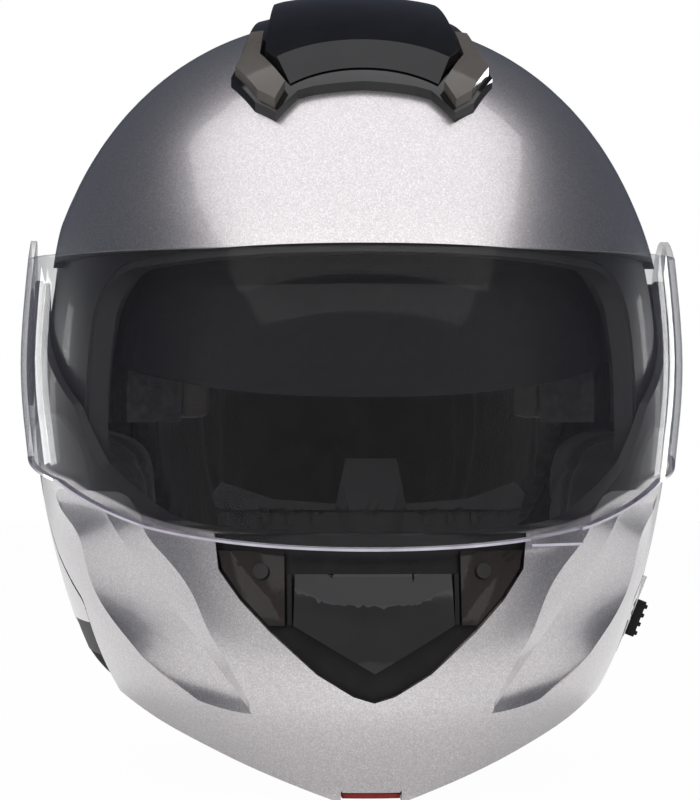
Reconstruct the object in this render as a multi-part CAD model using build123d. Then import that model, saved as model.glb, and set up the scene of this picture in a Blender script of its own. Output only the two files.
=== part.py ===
from build123d import *
from functools import lru_cache
import math
import os

# A flip-front motorcycle helmet, in millimetres.
# X runs to the rider's left, -Y is the front and Z is up.
# While it is built, z is counted from the widest level of the shell.
# Each piece is lifted by base_depth when it is written, so that it stands on z = 0.

# Overall form
shell_half_width = 119.0
shell_front = 150.0
shell_back = 169.0
crown_height = 143.0
base_depth = 137.0
form_power = 2.2
ring_points = 16
overrun = 60.0

# Clearances
seat_gap = 0.3
slide_gap = 0.5
running_gap = 0.05

# Walls
shell_wall = 4.6
foam_gap = 0.4
foam_thickness = 26.0
comfort_thickness = 9.0
chin_foam_thickness = 12.0

# Levels of each form below the widest one, and what it measures there, as
# shares of base_depth, shell_half_width, shell_front and shell_back
outer_shares = (
    (1.00, 0.605, 1.000, 0.740),
    (0.77, 0.775, 1.110, 0.830),
    (0.58, 0.877, 1.127, 0.905),
    (0.40, 0.938, 1.080, 0.965),
    (0.22, 0.980, 1.032, 0.995),
    (0.00, 1.000, 1.000, 1.000),
)
# The shell where it steps in behind the chin bar and the shield
recess_shares = (
    (1.00, 0.530, 0.990, 0.735),
    (0.77, 0.690, 1.080, 0.825),
    (0.58, 0.782, 1.090, 0.900),
    (0.40, 0.880, 1.050, 0.960),
    (0.22, 0.943, 1.015, 0.990),
    (0.00, 0.966, 0.995, 0.995),
)
# The inside of the chin bar's skin
chin_inner_shares = (
    (1.00, 0.520, 0.940, 0.740),
    (0.77, 0.708, 1.040, 0.830),
    (0.58, 0.797, 1.065, 0.905),
    (0.40, 0.902, 1.020, 0.965),
    (0.22, 0.960, 0.990, 0.995),
    (0.00, 0.978, 0.980, 1.000),
)
# The shield's band, whose levels run from below the widest one to above it,
# as shares of crown_height, shell_half_width, shell_front and shell_back
shield_shares = (
    (-0.48, 0.965, 1.130, 0.970),
    (-0.38, 0.990, 1.112, 0.980),
    (-0.25, 1.008, 1.082, 0.990),
    (-0.13, 1.024, 1.060, 0.995),
    (0.00, 1.040, 1.038, 1.000),
    (0.19, 1.040, 1.010, 1.000),
    (0.31, 1.028, 0.988, 0.990),
    (0.45, 1.002, 0.962, 0.970),
)
# How far up the dome its level lines lie, in degrees of its outline
dome_angles = (14, 28, 42, 55, 66, 75, 82, 87)

# Main pivot of the chin bar and the shield
pivot_height = 20.0
plate_radius = 24.0
plate_thickness = 2.0
plate_stand = 0.4
arm_thickness = 2.8
arm_radius = 25.0
bolt_radius = 3.0
bolt_head_radius = 6.0
bolt_head_depth = 1.4
bolt_grip = 4.9
pod_boss_radius = 12.0
pod_boss_height = 2.2
shield_cap_radius = 22.0
shield_cap_gap = 1.0

# Clear shield
shield_thickness = 2.2
shield_pod_radius = 40.0
shield_top = 52.5
tab_width = 19.0
tab_place = 64.0
tab_reach = 4.0
tab_height = 6.0
tab_drop = 46.0
shield_edge_shares = (
    (0.000, -0.140),
    (-0.527, -0.201),
    (-0.880, -0.304),
    (-1.333, -0.399),
)

# Recess round the shield's pod, and the gap at the back of the chin bar
pod_recess_gap = 7.0
chin_back_gap = 1.5

# Eye port
brow_height = 54.0
brow_side_height = 47.0
brow_bend_share = 0.947
port_side_front = 86.0
port_low_front = 80.0
port_corner_radius = 22.0
seal_width = 3.0
seal_depth = 6.0
seal_low = 40.0
foam_setback = 3.0
# Lower edge of the foam from the side: shares of shell_front and crown_height
foam_edge_shares = (
    (-1.400, -0.056),
    (0.053, -0.056),
    (0.267, -0.315),
    (0.600, -0.490),
    (1.600, -0.490),
)

# Side outline of the chin bar, as shares of shell_front and crown_height, with
# the radius of each corner as a share of shell_front
chin_outline_shares = (
    (-0.147, 0.224, 0.0),
    (-0.560, -0.014, 0.08),
    (-0.667, -0.154, 0.10),
    (-0.853, -0.294, 0.20),
    (-1.333, -0.364, 0.0),
    (-1.333, -1.400, 0.0),
    (-0.467, -1.400, 0.0),
    (-0.467, -0.503, 0.04),
    (-0.253, -0.392, 0.08),
    (0.173, -0.056, 0.06),
    (0.133, 0.140, 0.0),
)
# Lower edge of the chin bar from the front: shares of shell_half_width and
# base_depth, from the flat that it stands on out to the side
chin_flat_half = 12.0
chin_hem_shares = (
    (0.26, 0.950),
    (0.37, 0.912),
    (0.49, 0.867),
    (0.61, 0.820),
    (0.77, 0.741),
    (1.05, 0.660),
)

# The hollow pressed into each side of the chin bar, at levels below the widest
# one: shares of base_depth, then the places of its lip, its deepest line and its
# outer ridge as shares of shell_half_width, and its depth as a share of hollow_depth
hollow_depth = 4.0
hollow_lift = 0.8
hollow_rise = 20.0
hollow_shares = (
    (0.847, 0.294, 0.303, 0.311, -0.50),
    (0.759, 0.345, 0.366, 0.479, 0.35),
    (0.672, 0.391, 0.450, 0.622, 0.70),
    (0.584, 0.450, 0.534, 0.735, 0.95),
    (0.496, 0.496, 0.613, 0.800, 0.85),
    (0.409, 0.555, 0.689, 0.840, 0.60),
    (0.321, 0.630, 0.756, 0.880, 0.40),
    (0.234, 0.706, 0.823, 0.920, 0.30),
)

# Lower rim of the shell, its trim and the neck roll
rim_side_height = 80.0
rim_nape_height = 119.0
rim_bend_front = 10.0
rim_bend_back = 100.0
trim_height = 12.0
trim_front = 68.0
trim_inset = 0.6
roll_rise = 6.0
roll_side_drop = 5.0
roll_thickness = 18.0
roll_flat_front = 96.0
roll_front = 60.0

# Sun visor
sun_radius = 134.0
sun_reach = 106.0
sun_thickness = 2.0
sun_gap = 1.5
sun_top_angle = 38.0
sun_travel = 34.0
sun_eye_radius = 11.0
sun_pin_radius = 2.5
sun_pin_length = 7.0
sun_slot_spare = 6.0
sun_edge_shares = (
    (0.000, -0.070),
    (-0.293, 0.140),
    (-0.397, 0.154),
    (-0.507, 0.105),
    (-0.700, 0.052),
    (-0.893, 0.007),
    (-1.333, -0.056),
)

# Top vent, drawn on a plane that leans with the dome above the brow
vent_plane_front = 50.0
vent_plane_height = 137.0
vent_tilt = 25.0
deck_height = 3.2
corner_height = 3.2
vent_slider_height = 4.8
vent_length = 150.0
vent_bevel_angle = 57.0
vent_bevel_front = 101.0
vent_bevel_height = 115.5
# Outlines on that plane, as shares of shell_half_width and of vent_length
deck_shares = (
    (0.000, -0.405),
    (0.151, -0.413),
    (0.197, -0.420),
    (0.265, -0.480),
    (0.324, -0.427),
    (0.392, -0.290),
    (0.367, -0.233),
    (0.341, -0.093),
    (0.291, 0.200),
    (0.235, 0.430),
    (0.130, 0.540),
    (0.000, 0.560),
)
vent_slider_shares = (
    (0.000, -0.373),
    (0.130, -0.385),
    (0.218, -0.400),
    (0.290, -0.267),
    (0.250, 0.120),
    (0.170, 0.260),
    (0.000, 0.300),
)
vent_corner_shares = (
    (0.236, -0.410),
    (0.268, -0.466),
    (0.318, -0.418),
    (0.380, -0.288),
    (0.356, -0.230),
    (0.330, -0.105),
    (0.290, -0.120),
    (0.306, -0.262),
)

# Rear vent
rear_vent_height = 62.0
rear_vent_stand = 5.0
rear_slot_width = 26.0
rear_slot_height = 6.0
rear_slot_place = 25.0
rear_mesh_thickness = 1.2
rear_vent_shares = (
    (0.00, 0.20),
    (0.28, 0.17),
    (0.46, 0.04),
    (0.40, -0.10),
    (0.20, -0.15),
    (0.00, -0.16),
)

# Chin vent: its outline and its sliding cover, as shares of its half width,
# with heights counted down from the widest level
chin_vent_half_width = 53.5
chin_vent_depth = 5.0
chin_vent_floor = 2.0
chin_slot_half_width = 20.0
chin_slot_height = 5.0
chin_slot_drop = 69.0
chin_vent_shares = (
    (1.00, -0.85),
    (0.99, -0.94),
    (0.975, -1.08),
    (0.84, -1.27),
    (0.65, -1.47),
    (0.36, -1.73),
    (0.13, -1.87),
    (0.00, -1.91),
)
chin_slider_shares = (
    (0.495, -1.10),
    (0.510, -1.42),
    (0.000, -1.72),
)
chin_slider_stand = 2.2
chin_slider_gap = 2.0
rail_width = 1.5
lens_thickness = 1.8
chin_lens_shares = (
    (0.560, -0.96),
    (0.972, -0.96),
    (0.950, -1.075),
    (0.825, -1.250),
    (0.660, -1.425),
    (0.560, -1.425),
)
vent_screw_place = 38.0
vent_screw_drop = 58.0
vent_screw_radius = 2.6
vent_screw_stand = 1.0

# Breath guard: half of its outline, as shares of its half width and of its height
guard_half_width = 54.0
guard_base = 61.0
guard_height = 41.0
guard_inset = 2.0
guard_thickness = 2.0
guard_rib_width = 2.0
guard_rib_height = 5.0
guard_rib_stand = 1.2
guard_rib_drop = 40.0
guard_rib_first = 19.0
guard_rib_pitch = 8.4
guard_rib_count = 3
guard_shares = (
    (0.00, 1.00),
    (0.16, 1.00),
    (0.22, 0.62),
    (0.62, 0.66),
    (0.94, 0.80),
    (1.00, 0.70),
    (0.86, 0.00),
)

# Chin bar foam, cover and curtain
# The space inside its lining at two levels: shares of base_depth,
# shell_half_width and shell_front
chin_space_shares = ((0.88, 0.512, 0.917), (0.38, 0.775, 0.955))
chin_foam_back = 100.0
chin_foam_bottom = 112.0
hem_lift = 3.0
curtain_thickness = 1.5
curtain_width = 34.0
curtain_back = 88.0

# Release button under the chin, drawn pressed in, with its case and spring
button_half_width = 10.0
button_lift = 0.8
button_lip_height = 1.8
button_lip_back = 146.0
button_back = 134.0
button_height = 7.0
button_travel = 2.5
button_gap = 0.4
case_wall = 2.6
case_back = 121.0
spring_radius = 2.8
spring_bore = 1.8

# Latch pawls, drawn released, and the strikers that they catch
striker_front = 75.0
striker_drop = 84.0
striker_radius = 2.0
striker_in = 71.0
striker_block_in = 79.0
striker_block_out = 81.5
striker_block_half = 4.5
striker_block_height = 6.5
pawl_in = 71.5
pawl_thickness = 3.0
pawl_pivot_front = 90.0
pawl_pivot_drop = 90.0
pawl_pin_radius = 1.5
pawl_pin_seat = 2.0
pawl_eye_radius = 4.0
pawl_reach = 18.0
pawl_travel = 24.0
# The closed pawl from its pivot, as shares of its reach
pawl_shares = (
    (0.00, 0.22),
    (0.55, 0.19),
    (0.75, 0.155),
    (0.89, 0.23),
    (1.00, 0.355),
    (1.11, 0.27),
    (1.00, 0.00),
    (0.55, -0.14),
    (0.00, -0.22),
)

# Sun visor control on the rider's left
track_back = 14.0
track_out = 104.5
track_drop = 76.7
track_lean = 21.7
track_length = 24.0
track_width = 18.0
track_thickness = 1.4
knob_length = 14.0
knob_width = 12.0
knob_height = 3.4
knob_place = 4.0
knob_ribs = 4
knob_rib_height = 0.9
knob_rib_width = 1.6

# Cheek pads
pad_front = 76.0
pad_back = 4.0
pad_top = 9.5
pad_bottom = 73.4
pad_thickness = 38.0
pad_inset = 5.4
pad_corner = 14.0
pad_crown_shares = ((0.0, 0.96), (0.45, 1.0), (0.75, 0.92), (0.93, 0.74), (1.0, 0.50))

# Chin strap and buckle
strap_width = 22.0
strap_thickness = 1.8
strap_back = 20.0
anchor_radius = 7.0
anchor_drop = 46.0
# Its course from the shell to the buckle: shares of shell_half_width and crown_height
strap_shares = ((0.815, -0.270), (0.800, -0.350), (0.500, -0.573), (0.450, -0.755))
buckle_length = 36.0
buckle_width = 26.0
buckle_height = 8.0
buckle_wall = 2.0
buckle_drop = 115.0
tongue_length = 30.0
tongue_width = 12.0
tongue_thickness = 2.0
tongue_out = 33.0
lever_length = 26.0
lever_thickness = 2.0
lever_pin_radius = 1.5


def signed_power(value, power):
    return math.copysign(abs(value) ** power, value)


def ring(height, half_width, front, back):
    """One closed level line of a form, as a smooth rounded oval."""
    points = []
    for k in range(ring_points):
        turn = 2 * math.pi * k / ring_points
        x = half_width * signed_power(math.sin(turn), 2 / form_power)
        reach = back if math.cos(turn) > 0 else front
        points.append(Vector(x, reach * signed_power(math.cos(turn), 2 / form_power), height))
    return Wire([Edge.make_spline(points, periodic=True)])


@lru_cache(maxsize=None)
def form(shares, inset=0.0):
    """A closed form from the base to the crown, its walls drawn in by inset."""
    rings = []
    for depth, width, front, back in shares:
        half_width = width * shell_half_width - inset
        reach = front * shell_front - inset
        rings.append(ring(-depth * base_depth, half_width, reach, back * shell_back - inset))
    top = crown_height - inset
    back = shares[-1][3] * shell_back - inset
    for angle in dome_angles:
        rise = math.sin(math.radians(angle)) ** (2 / form_power)
        share = math.cos(math.radians(angle)) ** (2 / form_power)
        rings.append(ring(top * rise, half_width * share, reach * share, back * share))
    return Solid.make_loft([*rings, Vertex(0, 0, top)])


def shield_form(inset=0.0):
    """The shield's band as one closed solid, its walls drawn in by inset."""
    rings = []
    for height, width, front, back in shield_shares:
        half_width = width * shell_half_width - inset
        reach = front * shell_front - inset
        rings.append(ring(height * crown_height, half_width, reach, back * shell_back - inset))
    return Solid.make_loft(rings)


far_side = shell_half_width + overrun
far_front = -shell_front - overrun
far_back = shell_back + overrun
far_down = -base_depth - overrun
far_up = crown_height + overrun


def side_points(shares):
    return [(y * shell_front, z * crown_height) for y, z in shares]


def polygon(points, radii=None):
    """A flat outline with straight sides, its corners rounded by radii if given."""
    if radii is None:
        return make_face(Polyline(*points, close=True))
    return make_face(FilletPolyline(*points, radius=radii, close=True))


def disc(radius, y, z):
    return Pos(y, z) * Circle(radius)


def across(face, x_from=-far_side, x_to=far_side):
    """A prism along X from an outline seen from the side, drawn in Y and Z."""
    return extrude(Plane.YZ.offset(x_from) * face, amount=x_to - x_from, dir=(1, 0, 0))


def along(face, y_from=far_front, y_to=far_back):
    """A prism along Y from an outline seen from the front, drawn in X and Z."""
    return extrude(Plane.XZ.offset(-y_to) * face, amount=y_to - y_from, dir=(0, -1, 0))


def rod(radius, x_from, x_to, y, z):
    """A round bar along X."""
    return across(disc(radius, y, z), x_from, x_to)


outer = form(outer_shares)
recess = form(recess_shares)
recess_half_width = recess_shares[-1][1] * shell_half_width
plate_out = recess_half_width + plate_stand
arm_in = plate_out + slide_gap
arm_out = arm_in + arm_thickness
boss_out = arm_out + pod_boss_height
sun_pin_in = recess_half_width - shell_wall - sun_pin_length


def mirrored_outline(shares, across_size, up_size, lift=0.0):
    """A closed outline from its right half, given as shares of two sizes."""
    right = [(x * across_size, z * up_size + lift) for x, z in shares]
    left = [(-x, z) for x, z in reversed(right) if x > 0]
    return polygon([*right, *left])


def one_solid(shape):
    """The largest solid that a cut or a join leaves."""
    return max(shape.solids(), key=lambda s: s.volume)


def parted(shape):
    """Every solid that a cut or a join leaves, as one piece."""
    return Compound(children=list(shape.solids()))


def both_sides(shape):
    return Compound(children=[*shape.solids(), *mirrored(shape).solids()])


def mirrored(shape):
    return mirror(shape, about=Plane.YZ)


def block(x, y, z):
    """A box between two values on each axis."""
    size = [pair[1] - pair[0] for pair in (x, y, z)]
    middle = [(pair[0] + pair[1]) / 2 for pair in (x, y, z)]
    return Pos(*middle) * Box(*size)


def chin_outline():
    """The chin bar from the side, without its round pods."""
    points = [(y * shell_front, z * crown_height) for y, z, r in chin_outline_shares]
    return polygon(points, [r * shell_front for y, z, r in chin_outline_shares])


def port_outline(setback=0.0):
    """The eye port from the side: all that lies in front of its edge."""
    bend = -brow_bend_share * shell_front
    points = (
        (far_front, brow_height),
        (bend, brow_height),
        (-port_side_front, brow_side_height),
        (-port_low_front, far_down),
        (far_front, far_down),
    )
    face = polygon(points, (0, 0, port_corner_radius, 0, 0))
    return offset(face, amount=setback) if setback else face


def shield_outline():
    """The shield from the side: its band and its round pod."""
    rise = shield_top - pivot_height
    top_back = -math.sqrt(shield_pod_radius**2 - rise**2)
    points = [(far_front, shield_top), (top_back, shield_top), (0, pivot_height)]
    points += side_points(shield_edge_shares)
    return polygon(points) + disc(shield_pod_radius, 0, pivot_height)


def recess_zone():
    """The side view of the shell's step behind the shield and the chin bar."""
    band = polygon(
        (
            (far_front, brow_height),
            (-shield_pod_radius, brow_height - pod_recess_gap / 2),
            (0, pivot_height),
            (-port_low_front, -pivot_height),
            (far_front, -pivot_height),
        )
    )
    back = offset(chin_outline(), amount=chin_back_gap)
    return band + back + disc(shield_pod_radius + pod_recess_gap, 0, pivot_height)


def rim_points(drop):
    """The shell's lower rim from the side, from front to back, lowered by drop."""
    return [
        (far_front, -rim_side_height - drop),
        (-rim_bend_front, -rim_side_height - drop),
        (rim_bend_back, -rim_nape_height - drop),
        (far_back, -rim_nape_height - drop),
    ]


def below_rim(drop=0.0):
    points = [*rim_points(drop), (far_back, 2 * far_down), (far_front, 2 * far_down)]
    round_off = rim_bend_back / 2
    return across(polygon(points, (0, round_off, round_off, 0, 0, 0)))


def below_hem(lift=0.0):
    """What lies under the chin bar's lower edge, raised by lift."""
    out = [(x * shell_half_width, lift - z * base_depth) for x, z in chin_hem_shares]
    flat = (chin_flat_half, lift - base_depth)
    curve = Spline(flat, *out)
    half = Polyline(out[-1], (out[-1][0], 2 * far_down), (0, 2 * far_down), (0, flat[1]), flat)
    side = along(make_face(curve.edges() + half.edges()))
    return side, mirrored(side)


# Shell


def outer_shell():
    shell = outer - form(recess_shares, shell_wall)
    shell -= across(recess_zone()) - recess
    shell -= across(port_outline())
    shell -= below_rim()
    pocket = rod(plate_radius + seat_gap, plate_out - plate_thickness, far_side, 0, pivot_height)
    hole = rod(bolt_radius, 0, far_side, 0, pivot_height)
    for cut in (pocket, hole, mirrored(pocket), mirrored(hole)):
        shell -= cut
    return one_solid(shell)


def shell_edge_trim():
    ring_band = form(outer_shares, trim_inset) & below_rim()
    ring_band -= below_rim(trim_height)
    ring_band -= block((-far_side, far_side), (far_front, -trim_front), (2 * far_down, far_up))
    return one_solid(ring_band - form(recess_shares, shell_wall))


def neck_roll():
    low = -base_depth
    side_low = -rim_side_height - trim_height - roll_side_drop
    outline = polygon(
        (
            (-roll_front, -rim_side_height + roll_rise),
            (-rim_bend_front, -rim_side_height + roll_rise),
            (rim_bend_back, -rim_nape_height + roll_rise),
            (far_back, -rim_nape_height + roll_rise),
            (far_back, low),
            (roll_flat_front, low),
            (0, side_low),
            (-roll_front, side_low),
        )
    )
    roll = form(recess_shares, shell_wall + foam_gap + foam_gap) & across(outline)
    return one_solid(roll - form(recess_shares, shell_wall + 2 * foam_gap + roll_thickness))


def eye_port_seal():
    edge = across(port_outline()) - across(port_outline(-seal_width))
    edge = edge & block((-far_side, far_side), (far_front, 0), (-seal_low, far_up))
    seal = form(recess_shares, seat_gap) & edge
    return one_solid(seal - form(recess_shares, seal_depth))


def pivot_plate():
    plate = rod(plate_radius, plate_out - plate_thickness, plate_out, 0, pivot_height)
    return one_solid(plate - rod(bolt_radius, 0, far_side, 0, pivot_height))


def pivot_bolt():
    head_in = boss_out - bolt_head_depth
    shank = rod(bolt_radius, plate_out - bolt_grip, head_in, 0, pivot_height)
    return one_solid(shank + rod(bolt_head_radius, head_in, boss_out, 0, pivot_height))


# Foam and linings


def foam_form(depth=0.0):
    return form(recess_shares, shell_wall + foam_gap + depth)


def below_foam(lift=0.0):
    points = [(y, z + lift) for y, z in side_points(foam_edge_shares)]
    return across(polygon([*points, (far_back, 2 * far_down), (far_front, 2 * far_down)]))


def impact_liner():
    foam = foam_form() - below_foam() - across(port_outline(foam_setback))
    foam -= foam_form(foam_thickness)
    foam -= sun_slot()
    pin_hole = rod(sun_pin_radius + seat_gap, sun_pin_in, far_side, 0, 0)
    return one_solid(foam - pin_hole - mirrored(pin_hole))


def crown_liner():
    lining = foam_form(foam_thickness + seat_gap) - below_foam(seat_gap)
    lining -= across(port_outline(foam_setback))
    return one_solid(lining - foam_form(foam_thickness + seat_gap + comfort_thickness))


def cheek_pad():
    """A pad that swells towards the face, its outer side on the shell's curve."""
    middle = ((-pad_front + pad_back) / 2, -(pad_top + pad_bottom) / 2)
    size = (pad_back + pad_front, pad_bottom - pad_top)
    outer_x = recess_half_width - shell_wall
    slices = []
    for depth, share in pad_crown_shares:
        place = Plane.YZ.offset(outer_x - depth * pad_thickness)
        face = RectangleRounded(size[0] * share, size[1] * share, pad_corner * share)
        slices.append(place * Pos(*middle) * face)
    return one_solid(loft(slices) & form(recess_shares, pad_inset))


# Sun visor


def sun_form(inset=0.0):
    """The round body whose skin the sun visor is: one outline turned about X."""
    points = []
    for k in range(ring_points + 1):
        turn = math.pi * k / ring_points
        x = (sun_reach - inset) * signed_power(math.cos(turn), 2 / form_power)
        rise = (sun_radius - inset) * signed_power(math.sin(turn), 2 / form_power)
        points.append((x, rise))
    curve = Spline(*points, tangents=((0, 1), (0, -1)))
    return revolve(make_face(curve.edges() + Line(points[-1], points[0]).edges()), axis=Axis.X)


def sun_skin(gap=0.0):
    return sun_form(-gap) - sun_form(sun_thickness + gap)


def sun_outline():
    low = side_points(sun_edge_shares)
    turn = math.radians(sun_top_angle)
    top = (far_front, -far_front * math.tan(turn))
    edge = Spline(*low)
    rest = Polyline(low[-1], top, (0, -low[0][1]), low[0])
    return make_face(edge.edges() + rest.edges()) + disc(sun_eye_radius, 0, 0)


def sun_visor():
    eye = rod(sun_pin_radius + running_gap, -far_side, far_side, 0, 0)
    return one_solid((sun_skin() & across(sun_outline())) - eye)


def sun_slot():
    turn = math.radians(sun_top_angle + sun_travel + sun_slot_spare)
    wide = sun_eye_radius + 2 * sun_gap
    points = (
        (wide, -wide),
        (far_front, -wide),
        (far_front, far_up),
        (-far_up / math.tan(turn), far_up),
        (wide, wide),
    )
    return sun_skin(sun_gap) & across(polygon(points))


def sun_visor_pin():
    return one_solid(rod(sun_pin_radius, sun_pin_in, recess_half_width - shell_wall, 0, 0))


# Top vent


def vent_prism(shares, mirrored_half=True):
    """A prism square to the vent's plane, from the outline of its right half."""
    turn = math.radians(vent_tilt)
    lean = (0, -math.sin(turn), math.cos(turn))
    place = Plane(origin=(0, -vent_plane_front, vent_plane_height), x_dir=(1, 0, 0), z_dir=lean)
    if mirrored_half:
        face = mirrored_outline(shares, shell_half_width, vent_length)
    else:
        face = polygon([(x * shell_half_width, v * vent_length) for x, v in shares])
    return extrude(place.offset(-overrun) * face, amount=2 * overrun, dir=lean)


def top_vent_housing():
    return one_solid((form(outer_shares, -deck_height) & vent_prism(deck_shares)) - outer)


def top_vent_corner():
    top = form(outer_shares, -deck_height - corner_height)
    corner = top & vent_prism(vent_corner_shares, mirrored_half=False)
    return one_solid(corner - form(outer_shares, -deck_height))


def top_vent_slider():
    low = deck_height + slide_gap
    slider = form(outer_shares, -low - vent_slider_height) & vent_prism(vent_slider_shares)
    slider -= form(outer_shares, -low)
    turn = math.radians(vent_bevel_angle)
    up = Vector(math.cos(turn), math.sin(turn)) * overrun
    out = Vector(-math.sin(turn), math.cos(turn)) * overrun
    start = Vector(-vent_bevel_front, vent_bevel_height)
    corners = (start - up, start + up, start + up + out, start - up + out)
    return one_solid(slider - across(polygon([(p.X, p.Y) for p in corners])))


# Rear vent


def rear_vent_slots():
    size = (rear_slot_width, rear_slot_height)
    slots = None
    for side in (-1, 1):
        slot = along(Pos(side * rear_slot_place, rear_vent_height) * Rectangle(*size), 0)
        slots = slot if slots is None else slots + slot
    return slots


def rear_vent_housing():
    face = mirrored_outline(rear_vent_shares, shell_half_width, crown_height, rear_vent_height)
    housing = (form(outer_shares, -rear_vent_stand) & along(face, 0)) - outer
    return one_solid(housing - rear_vent_slots())


def rear_vent_mesh():
    mesh = form(outer_shares, -rear_mesh_thickness) & rear_vent_slots()
    return parted(mesh - outer)


# Chin bar


def chin_form(depth=0.0):
    return form(chin_inner_shares, depth)


def vent_outline(shares):
    return mirrored_outline(shares, chin_vent_half_width, chin_vent_half_width)


def front_prism(face):
    return along(face, far_front, -chin_vent_half_width)


def outer_level(height):
    """Half width and front reach of the outer form at a height under its widest level."""
    rows = [(-d * base_depth, w * shell_half_width, f * shell_front) for d, w, f, b in outer_shares]
    for low, high in zip(rows, rows[1:]):
        if height <= high[0]:
            part = (height - low[0]) / (high[0] - low[0])
            return low[1] + part * (high[1] - low[1]), low[2] + part * (high[2] - low[2])


def off_outer(x, height, rise):
    """The point at x on a level of the outer form's front, moved out by rise."""
    half_width, front = outer_level(height)
    share = (1 - (x / half_width) ** form_power) ** (1 / form_power)
    out = Vector((x / half_width) ** (form_power - 1) / half_width, -(share ** (form_power - 1)) / front)
    return Vector(x, -front * share) + out.normalized() * rise


def chin_hollow():
    """What is pressed out of one side of the chin bar, between its lip and its ridge."""
    wires = []
    for down, lip, valley, ridge, share in hollow_shares:
        height = -down * base_depth
        depth = share * hollow_depth
        lift = hollow_lift + max(-depth, 0)
        places = ((lip, lift), (valley, -depth), (ridge, lift), (ridge, hollow_rise), (lip, hollow_rise))
        points = [off_outer(x * shell_half_width, height, rise) for x, rise in places]
        wires.append(Wire.make_polygon([(p.X, p.Y, height) for p in points], close=True))
    return Solid.make_loft(wires)


def chin_bar_shell():
    hollow = chin_hollow()
    skin = ((outer - hollow - mirrored(hollow)) & across(chin_outline())) - chin_form()
    pod = rod(arm_radius, arm_in, arm_out, 0, pivot_height)
    pod += rod(pod_boss_radius, arm_out, boss_out, 0, pivot_height)
    head_in = boss_out - bolt_head_depth - seat_gap
    bore = rod(bolt_radius + running_gap, 0, far_side, 0, pivot_height)
    bore += rod(bolt_head_radius + seat_gap, head_in, far_side, 0, pivot_height)
    near = rod(arm_radius, 0, arm_in, 0, pivot_height)
    skin = skin - near - mirrored(near) + pod + mirrored(pod)
    skin = skin - bore - mirrored(bore)
    for cut in below_hem():
        skin -= cut
    skin -= front_prism(vent_outline(chin_vent_shares)) - form(outer_shares, chin_vent_depth)
    skin -= button_space()
    pin = latch_pin()
    return one_solid(skin - pin - mirrored(pin))


def chin_vent_frame():
    face = offset(vent_outline(chin_vent_shares), amount=-seat_gap)
    frame = form(outer_shares, chin_vent_depth - chin_vent_floor) & front_prism(face)
    rail = rail_block()
    frame += (form(outer_shares, seat_gap) & rail) + (form(outer_shares, seat_gap) & mirrored(rail))
    frame -= form(outer_shares, chin_vent_depth)
    frame = frame & across(chin_outline())
    slot = block(
        (-chin_slot_half_width, chin_slot_half_width),
        (far_front, -chin_vent_half_width),
        (-chin_slot_drop - chin_slot_height, -chin_slot_drop),
    )
    return one_solid(frame - slot)


def rail_block():
    inner_x = chin_slider_shares[1][0] * chin_vent_half_width + seat_gap
    top = chin_slider_shares[0][1] * chin_vent_half_width
    low = chin_slider_shares[1][1] * chin_vent_half_width
    return block((inner_x, inner_x + rail_width), (far_front, -chin_vent_half_width), (low, top))


def chin_vent_lens():
    half = chin_vent_half_width
    face = polygon([(x * half, z * half) for x, z in chin_lens_shares])
    floor = chin_vent_depth - chin_vent_floor
    plate = form(outer_shares, floor - lens_thickness) & front_prism(face)
    return one_solid((plate - form(outer_shares, floor)) & across(chin_outline()))


def chin_vent_screw():
    top = chin_vent_depth - chin_vent_floor - lens_thickness
    face = Pos(vent_screw_place, -vent_screw_drop) * Circle(vent_screw_radius)
    head = form(outer_shares, top - vent_screw_stand) & front_prism(face)
    return one_solid(head - form(outer_shares, top))


def chin_vent_slider():
    low = chin_vent_depth - chin_vent_floor - chin_slider_gap
    face = vent_outline(((0, chin_slider_shares[0][1]), *chin_slider_shares))
    cover = form(outer_shares, -chin_slider_stand) & front_prism(face)
    return one_solid(cover - form(outer_shares, low))


def chin_foam_zone():
    return block(
        (-far_side, far_side), (far_front, -chin_foam_back), (-chin_foam_bottom, -guard_base - seat_gap)
    )


def chin_layer(depth, space):
    """One layer inside the chin bar's skin, clear of its lower edge."""
    zone = chin_foam_zone()
    for cut in below_hem(hem_lift):
        zone -= cut
    return one_solid((chin_form(depth) & zone) - space)


def chin_bar_foam():
    return chin_layer(seat_gap, chin_form(seat_gap + chin_foam_thickness))


def chin_bar_lining():
    rings = []
    for depth, width, front in chin_space_shares:
        reach = front * shell_front
        rings.append(ring(-depth * base_depth, width * shell_half_width, reach, reach))
    space = Solid.make_loft(rings, True)
    return chin_layer(2 * seat_gap + chin_foam_thickness, space)


def chin_curtain():
    top = -chin_foam_bottom - seat_gap
    sheet = block((-far_side, far_side), (far_front, -curtain_back), (top - curtain_thickness, top))
    for cut in below_hem(hem_lift):
        sheet -= cut
    return one_solid((chin_form(seat_gap) & sheet) - chin_form(curtain_width))


def breath_guard():
    face = mirrored_outline(guard_shares, guard_half_width, guard_height, -guard_base)
    guard = chin_form(guard_inset) & front_prism(face)
    for k in range(guard_rib_count):
        x = guard_rib_first + k * guard_rib_pitch
        for side in (-1, 1):
            rib = Pos(side * x, -guard_rib_drop) * Rectangle(guard_rib_width, guard_rib_height)
            guard += chin_form(guard_inset - guard_rib_stand) & front_prism(rib)
    return one_solid(guard - chin_form(guard_inset + guard_thickness))


# Release button and latches


def button_body(spread=0.0, back=0.0, front=0.0):
    """The button: a lip that shows under the chin and a body behind it."""
    half = button_half_width + spread
    low = -base_depth + button_lift - spread
    top = -base_depth + button_lift + button_height + spread
    lip_top = -base_depth + button_lift + button_lip_height + spread
    body = block((-half, half), (-button_lip_back - spread - front, -button_back + back), (low, top))
    lip_back = -button_back + back
    return body + block((-half, half), (far_front, lip_back), (low, lip_top))


def release_button():
    shape = button_body() & (Pos(0, button_travel, 0) * outer)
    return one_solid(shape)


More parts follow.
